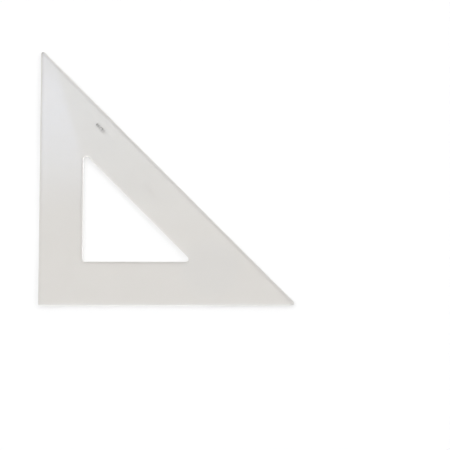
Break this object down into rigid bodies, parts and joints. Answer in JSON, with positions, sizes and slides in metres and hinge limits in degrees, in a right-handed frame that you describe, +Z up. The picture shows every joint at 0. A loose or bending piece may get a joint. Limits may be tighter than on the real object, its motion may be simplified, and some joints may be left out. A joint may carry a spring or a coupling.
{
  "type": "set square",
  "caption": "Flat clear right-angled drafting triangle with equal legs, narrow bevels along its ruling edges and a triangular opening.",
  "frame": {"origin": "centre of the bounding box's bottom, on the flat underside", "axes": "+Z up out of the bevelled face; +X along the base leg away from the right angle; +Y along the upright leg away from the right angle"},
  "size_m": [0.1524, 0.1524, 0.002],
  "materials": {
    "clear_acrylic": "clear, slightly smoky, polished faces with fine handling scratches",
    "stamped_ink": "thin matt black stamping ink, worn paler towards one end"
  },
  "bodies": {
    "root": {"triangle_plate": "clear_acrylic", "printed_mark": "stamped_ink"}
  },
  "joints": []
}
